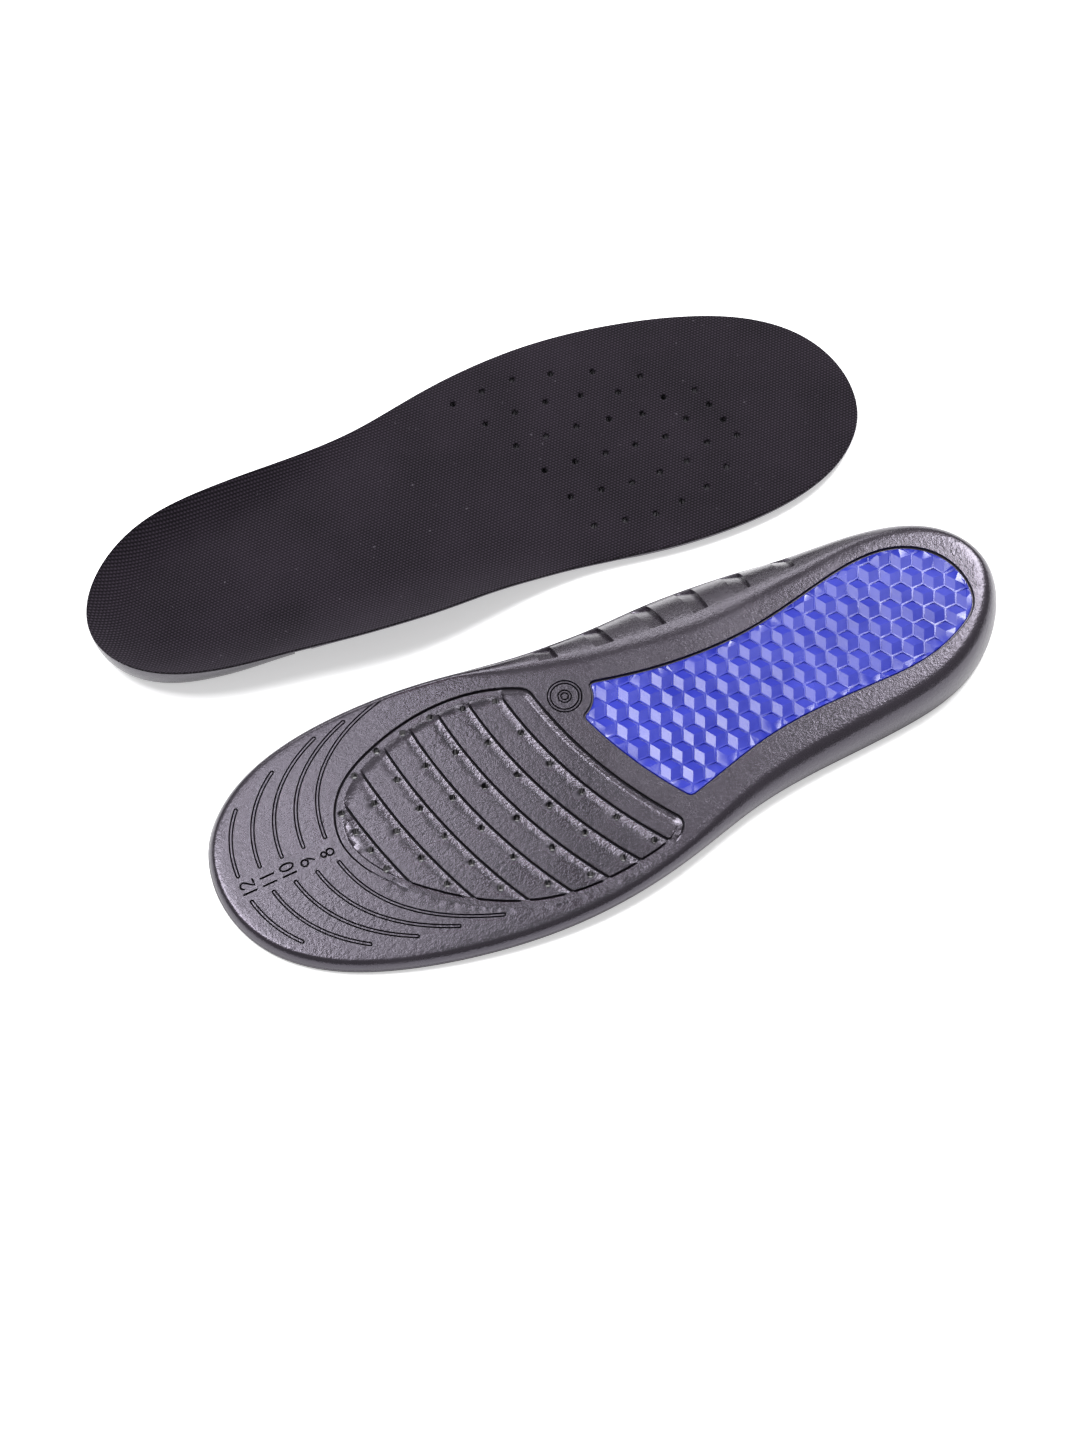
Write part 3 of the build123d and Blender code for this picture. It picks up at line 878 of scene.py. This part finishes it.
class Nodes:
    """Short calls for building a material's nodes."""

    def __init__(self, name):
        self.material = bpy.data.materials.new(name)
        self.material.use_nodes = True
        self.tree = self.material.node_tree
        self.shader = self.tree.nodes["Principled BSDF"]

    def node(self, kind, **inputs):
        made = self.tree.nodes.new(kind)
        for key, value in inputs.items():
            self.feed(made.inputs[key.replace("_", " ")], value)
        return made

    def feed(self, socket, value):
        """Links an output to the socket, or sets the socket's value."""
        if isinstance(value, bpy.types.NodeSocket):
            self.tree.links.new(value, socket)
        else:
            socket.default_value = value

    def math(self, operation, a, b=0.5):
        made = self.tree.nodes.new("ShaderNodeMath")
        made.operation = operation
        self.feed(made.inputs[0], a)
        self.feed(made.inputs[1], b)
        return made.outputs[0]

    def place(self):
        return self.node("ShaderNodeTexCoord").outputs["Object"]

    def noise(self, scale, detail, roughness=0.5):
        made = self.node("ShaderNodeTexNoise", Scale=scale, Detail=detail, Roughness=roughness)
        self.feed(made.inputs["Vector"], self.place())
        return made.outputs["Fac"]

    def ramp(self, value, stops):
        made = self.node("ShaderNodeValToRGB", Fac=value)
        ramp = made.color_ramp
        while len(ramp.elements) < len(stops):
            ramp.elements.new(0.5)
        for element, (position, colour) in zip(ramp.elements, stops):
            element.position = position
            element.color = (*colour, 1)
        return made.outputs["Color"]

    def bump(self, height, strength, distance):
        made = self.node("ShaderNodeBump", Strength=strength, Distance=distance, Height=height)
        return made.outputs["Normal"]


KNIT_PERIOD = 1.35 * MM


def knit_material():
    """Fine black knit: rows of small raised loops in a honeycomb, painted darker between them as shade,
    with a little lint.
    """
    n = Nodes("black_knit")
    place = n.place()
    waves = None
    turn = 2 * math.pi / (KNIT_PERIOD * ROW_SHARE)
    for angle in np.radians((30, 90, 150)):
        dot = n.tree.nodes.new("ShaderNodeVectorMath")
        dot.operation = "DOT_PRODUCT"
        n.feed(dot.inputs[0], place)
        dot.inputs[1].default_value = (math.cos(angle) * turn, math.sin(angle) * turn, 0)
        wave = n.math("COSINE", dot.outputs["Value"])
        waves = wave if waves is None else n.math("ADD", waves, wave)
    loops = n.math("DIVIDE", n.math("ADD", waves, 1.5), 4.5)
    fuzz = n.noise(1700.0, 3.0, 0.7)
    patches = n.noise(28.0, 3.0, 0.6)
    lint = n.ramp(n.noise(520.0, 1.0), [(0.77, (0, 0, 0)), (0.8, (1, 1, 1))])
    # Painted shade between the raised loops, mixed with random darker and lighter patches of the knit.
    loop_shade_and_patches = n.math("ADD", n.math("MULTIPLY", loops, 0.62), n.math("MULTIPLY", patches, 0.38))
    colour = n.ramp(loop_shade_and_patches, [(0.15, (0.003, 0.002, 0.004)), (0.8, (0.032, 0.023, 0.036))])
    mixed = n.tree.nodes.new("ShaderNodeMix")
    mixed.data_type = "RGBA"
    n.feed(mixed.inputs["Factor"], n.math("MULTIPLY", lint, 0.25))
    n.feed(mixed.inputs["A"], colour)
    mixed.inputs["B"].default_value = (0.22, 0.2, 0.24, 1)
    n.feed(n.shader.inputs["Base Color"], mixed.outputs["Result"])
    height = n.math("ADD", loops, n.math("MULTIPLY", fuzz, 0.35))
    n.feed(n.shader.inputs["Normal"], n.bump(height, 1.0, 0.5 * MM))
    n.shader.inputs["Roughness"].default_value = 0.82
    n.shader.inputs["Specular IOR Level"].default_value = 0.15
    n.shader.inputs["Sheen Weight"].default_value = 0.06
    n.shader.inputs["Sheen Roughness"].default_value = 0.45
    n.shader.inputs["Sheen Tint"].default_value = (0.92, 0.86, 1.0, 1)
    return n.material


def foam_material():
    """Moulded black foam skin: satin, finely pebbled, rougher in places, with painted shade that darkens
    and roughens its deep grooves and perforations.
    """
    n = Nodes("black_foam_skin")
    grain = n.noise(1500.0, 2.0, 0.6)
    pebble = n.noise(560.0, 3.0, 0.7)
    clouds = n.noise(24.0, 5.0, 0.62)
    colour = n.ramp(clouds, [(0.25, (0.011, 0.009, 0.012)), (0.8, (0.022, 0.018, 0.024))])
    # Painted shade: the stored value darkens the colour and raises the roughness in deep grooves and on the
    # perforations' walls.
    stored = n.tree.nodes.new("ShaderNodeAttribute")
    stored.attribute_name = "grime"
    grime = stored.outputs["Fac"]
    shade_painted = n.node("ShaderNodeMixRGB", Fac=grime, Color1=colour, Color2=(0.001, 0.001, 0.001, 1))
    n.feed(n.shader.inputs["Base Color"], shade_painted.outputs["Color"])
    wear = n.ramp(clouds, [(0.3, (0.13, 0.13, 0.13)), (0.7, (0.25, 0.25, 0.25))])
    rough = n.math("ADD", wear, n.math("MULTIPLY", grain, 0.1))
    n.feed(n.shader.inputs["Roughness"], n.math("MAXIMUM", rough, grime))
    height = n.math("ADD", n.math("MULTIPLY", grain, 0.35), pebble)
    n.feed(n.shader.inputs["Normal"], n.bump(height, 1.0, 0.13 * MM))
    n.shader.inputs["Specular IOR Level"].default_value = 0.85
    n.shader.inputs["Specular Tint"].default_value = (0.9, 0.83, 1.0, 1)
    return n.material


def gel_material():
    """Royal blue gel: soft gloss, a slight depth of colour and faint bloom."""
    n = Nodes("blue_gel")
    bloom = n.noise(60.0, 4.0, 0.65)
    fine = n.noise(1400.0, 2.0, 0.6)
    colour = n.ramp(bloom, [(0.3, (0.007, 0.015, 0.31)), (0.75, (0.016, 0.028, 0.42))])
    n.feed(n.shader.inputs["Base Color"], colour)
    n.feed(n.shader.inputs["Roughness"], n.math("ADD", n.math("MULTIPLY", bloom, 0.2), 0.14))
    n.feed(n.shader.inputs["Normal"], n.bump(fine, 0.25, 0.05 * MM))
    n.shader.inputs["Subsurface Weight"].default_value = 0.12
    n.shader.inputs["Subsurface Scale"].default_value = 0.002
    n.shader.inputs["Subsurface Radius"].default_value = (0.3, 0.4, 1.0)
    n.shader.inputs["Specular IOR Level"].default_value = 0.6
    n.shader.inputs["Coat Weight"].default_value = 0.15
    n.shader.inputs["Coat Roughness"].default_value = 0.25
    return n.material


FLOOR_GLOW = 0.45


def floor_material():
    """White, and glowing a little, as a lit sheet of paper does."""
    n = Nodes("white_floor")
    n.shader.inputs["Emission Strength"].default_value = FLOOR_GLOW
    n.shader.inputs["Base Color"].default_value = (0.93, 0.93, 0.94, 1)
    n.shader.inputs["Roughness"].default_value = 0.9
    n.shader.inputs["Specular IOR Level"].default_value = 0.0
    n.shader.inputs["Emission Color"].default_value = (1, 1, 1, 1)
    return n.material


# ---- The pair ----


def build():
    """Makes both insoles, and tells the frame what each piece is."""
    materials = {"cover": knit_material(), "base": foam_material(), "gel_pad": gel_material()}
    sharp = {"cover": 60, "base": 33, "gel_pad": 12}
    cover, gel_pad = make_cover(), make_gel_pad()
    for side, place, sole_up in (("left", LEFT_PLACE, False), ("right", RIGHT_PLACE, True)):
        matrix = row_matrix(place, sole_up)
        shells = {"cover": cover, "base": make_base(not sole_up), "gel_pad": gel_pad}
        for part, shell in shells.items():
            piece = shell.placed(f"{side}_insole_{part}", matrix, sharp[part])
            piece.data.materials.append(materials[part])
            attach(piece, f"{side}_insole")
            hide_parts(f"{side}_{part}")


# ---- Camera, light and floor ----

TARGET = Vector((-20.272, -36.460, 0.0)) * MM
CAMERA_PLACE = Vector((-219.07, -458.96, 842.2)) * MM
LENS = 65.0
SOFTBOX_DISTANCE = 1.5
SOFTBOXES = {                       # direction from the target, size in metres and power in watts
    "overhead_softbox": ((-0.02, 0.36, 0.93), (0.3, 0.25), 2.2),
    "left_softbox": ((-0.40, 0.27, 0.87), (0.4, 0.8), 16),
    "right_softbox": ((0.60, 0.27, 0.75), (0.35, 0.8), 17),
    "rear_softbox": ((0.15, 0.93, 0.4), (0.9, 0.25), 5),
}
SKY_STRENGTH = 0.34
FLOOR_REACH = 6.0


def add_camera():
    """The camera, at the photo's angle."""
    camera = bpy.data.objects.new("camera", bpy.data.cameras.new("camera"))
    camera.data.lens = LENS
    camera.location = CAMERA_PLACE
    camera.rotation_euler = (TARGET - CAMERA_PLACE).to_track_quat("-Z", "Y").to_euler()
    bpy.context.scene.collection.objects.link(camera)
    bpy.context.scene.camera = camera


def add_softbox(name, direction, size, energy):
    """An area light that faces the insoles."""
    lamp = bpy.data.lights.new(name, "AREA")
    lamp.shape = "RECTANGLE"
    lamp.size, lamp.size_y = size
    lamp.energy = energy
    box = bpy.data.objects.new(name, lamp)
    box.location = TARGET + Vector(direction).normalized() * SOFTBOX_DISTANCE
    box.rotation_euler = (TARGET - box.location).to_track_quat("-Z", "Y").to_euler()
    bpy.context.scene.collection.objects.link(box)


def add_studio():
    """An even sky, four softboxes and a white floor."""
    world = bpy.data.worlds.new("studio")
    world.use_nodes = True
    sky = world.node_tree.nodes["Background"]
    sky.inputs["Color"].default_value = (1, 1, 1, 1)
    sky.inputs["Strength"].default_value = SKY_STRENGTH
    bpy.context.scene.world = world
    for name, (direction, size, energy) in SOFTBOXES.items():
        add_softbox(name, direction, size, energy)
    mesh = bpy.data.meshes.new("floor")
    corners = [(x * FLOOR_REACH, y * FLOOR_REACH, 0) for x, y in ((-1, -1), (1, -1), (1, 1), (-1, 1))]
    mesh.from_pydata(corners, [], [(0, 1, 2, 3)])
    mesh.materials.append(floor_material())
    floor = bpy.data.objects.new("floor", mesh)
    bpy.context.scene.collection.objects.link(floor)
    bpy.context.scene.view_settings.view_transform = "Standard"


add_camera()
build()
add_studio()
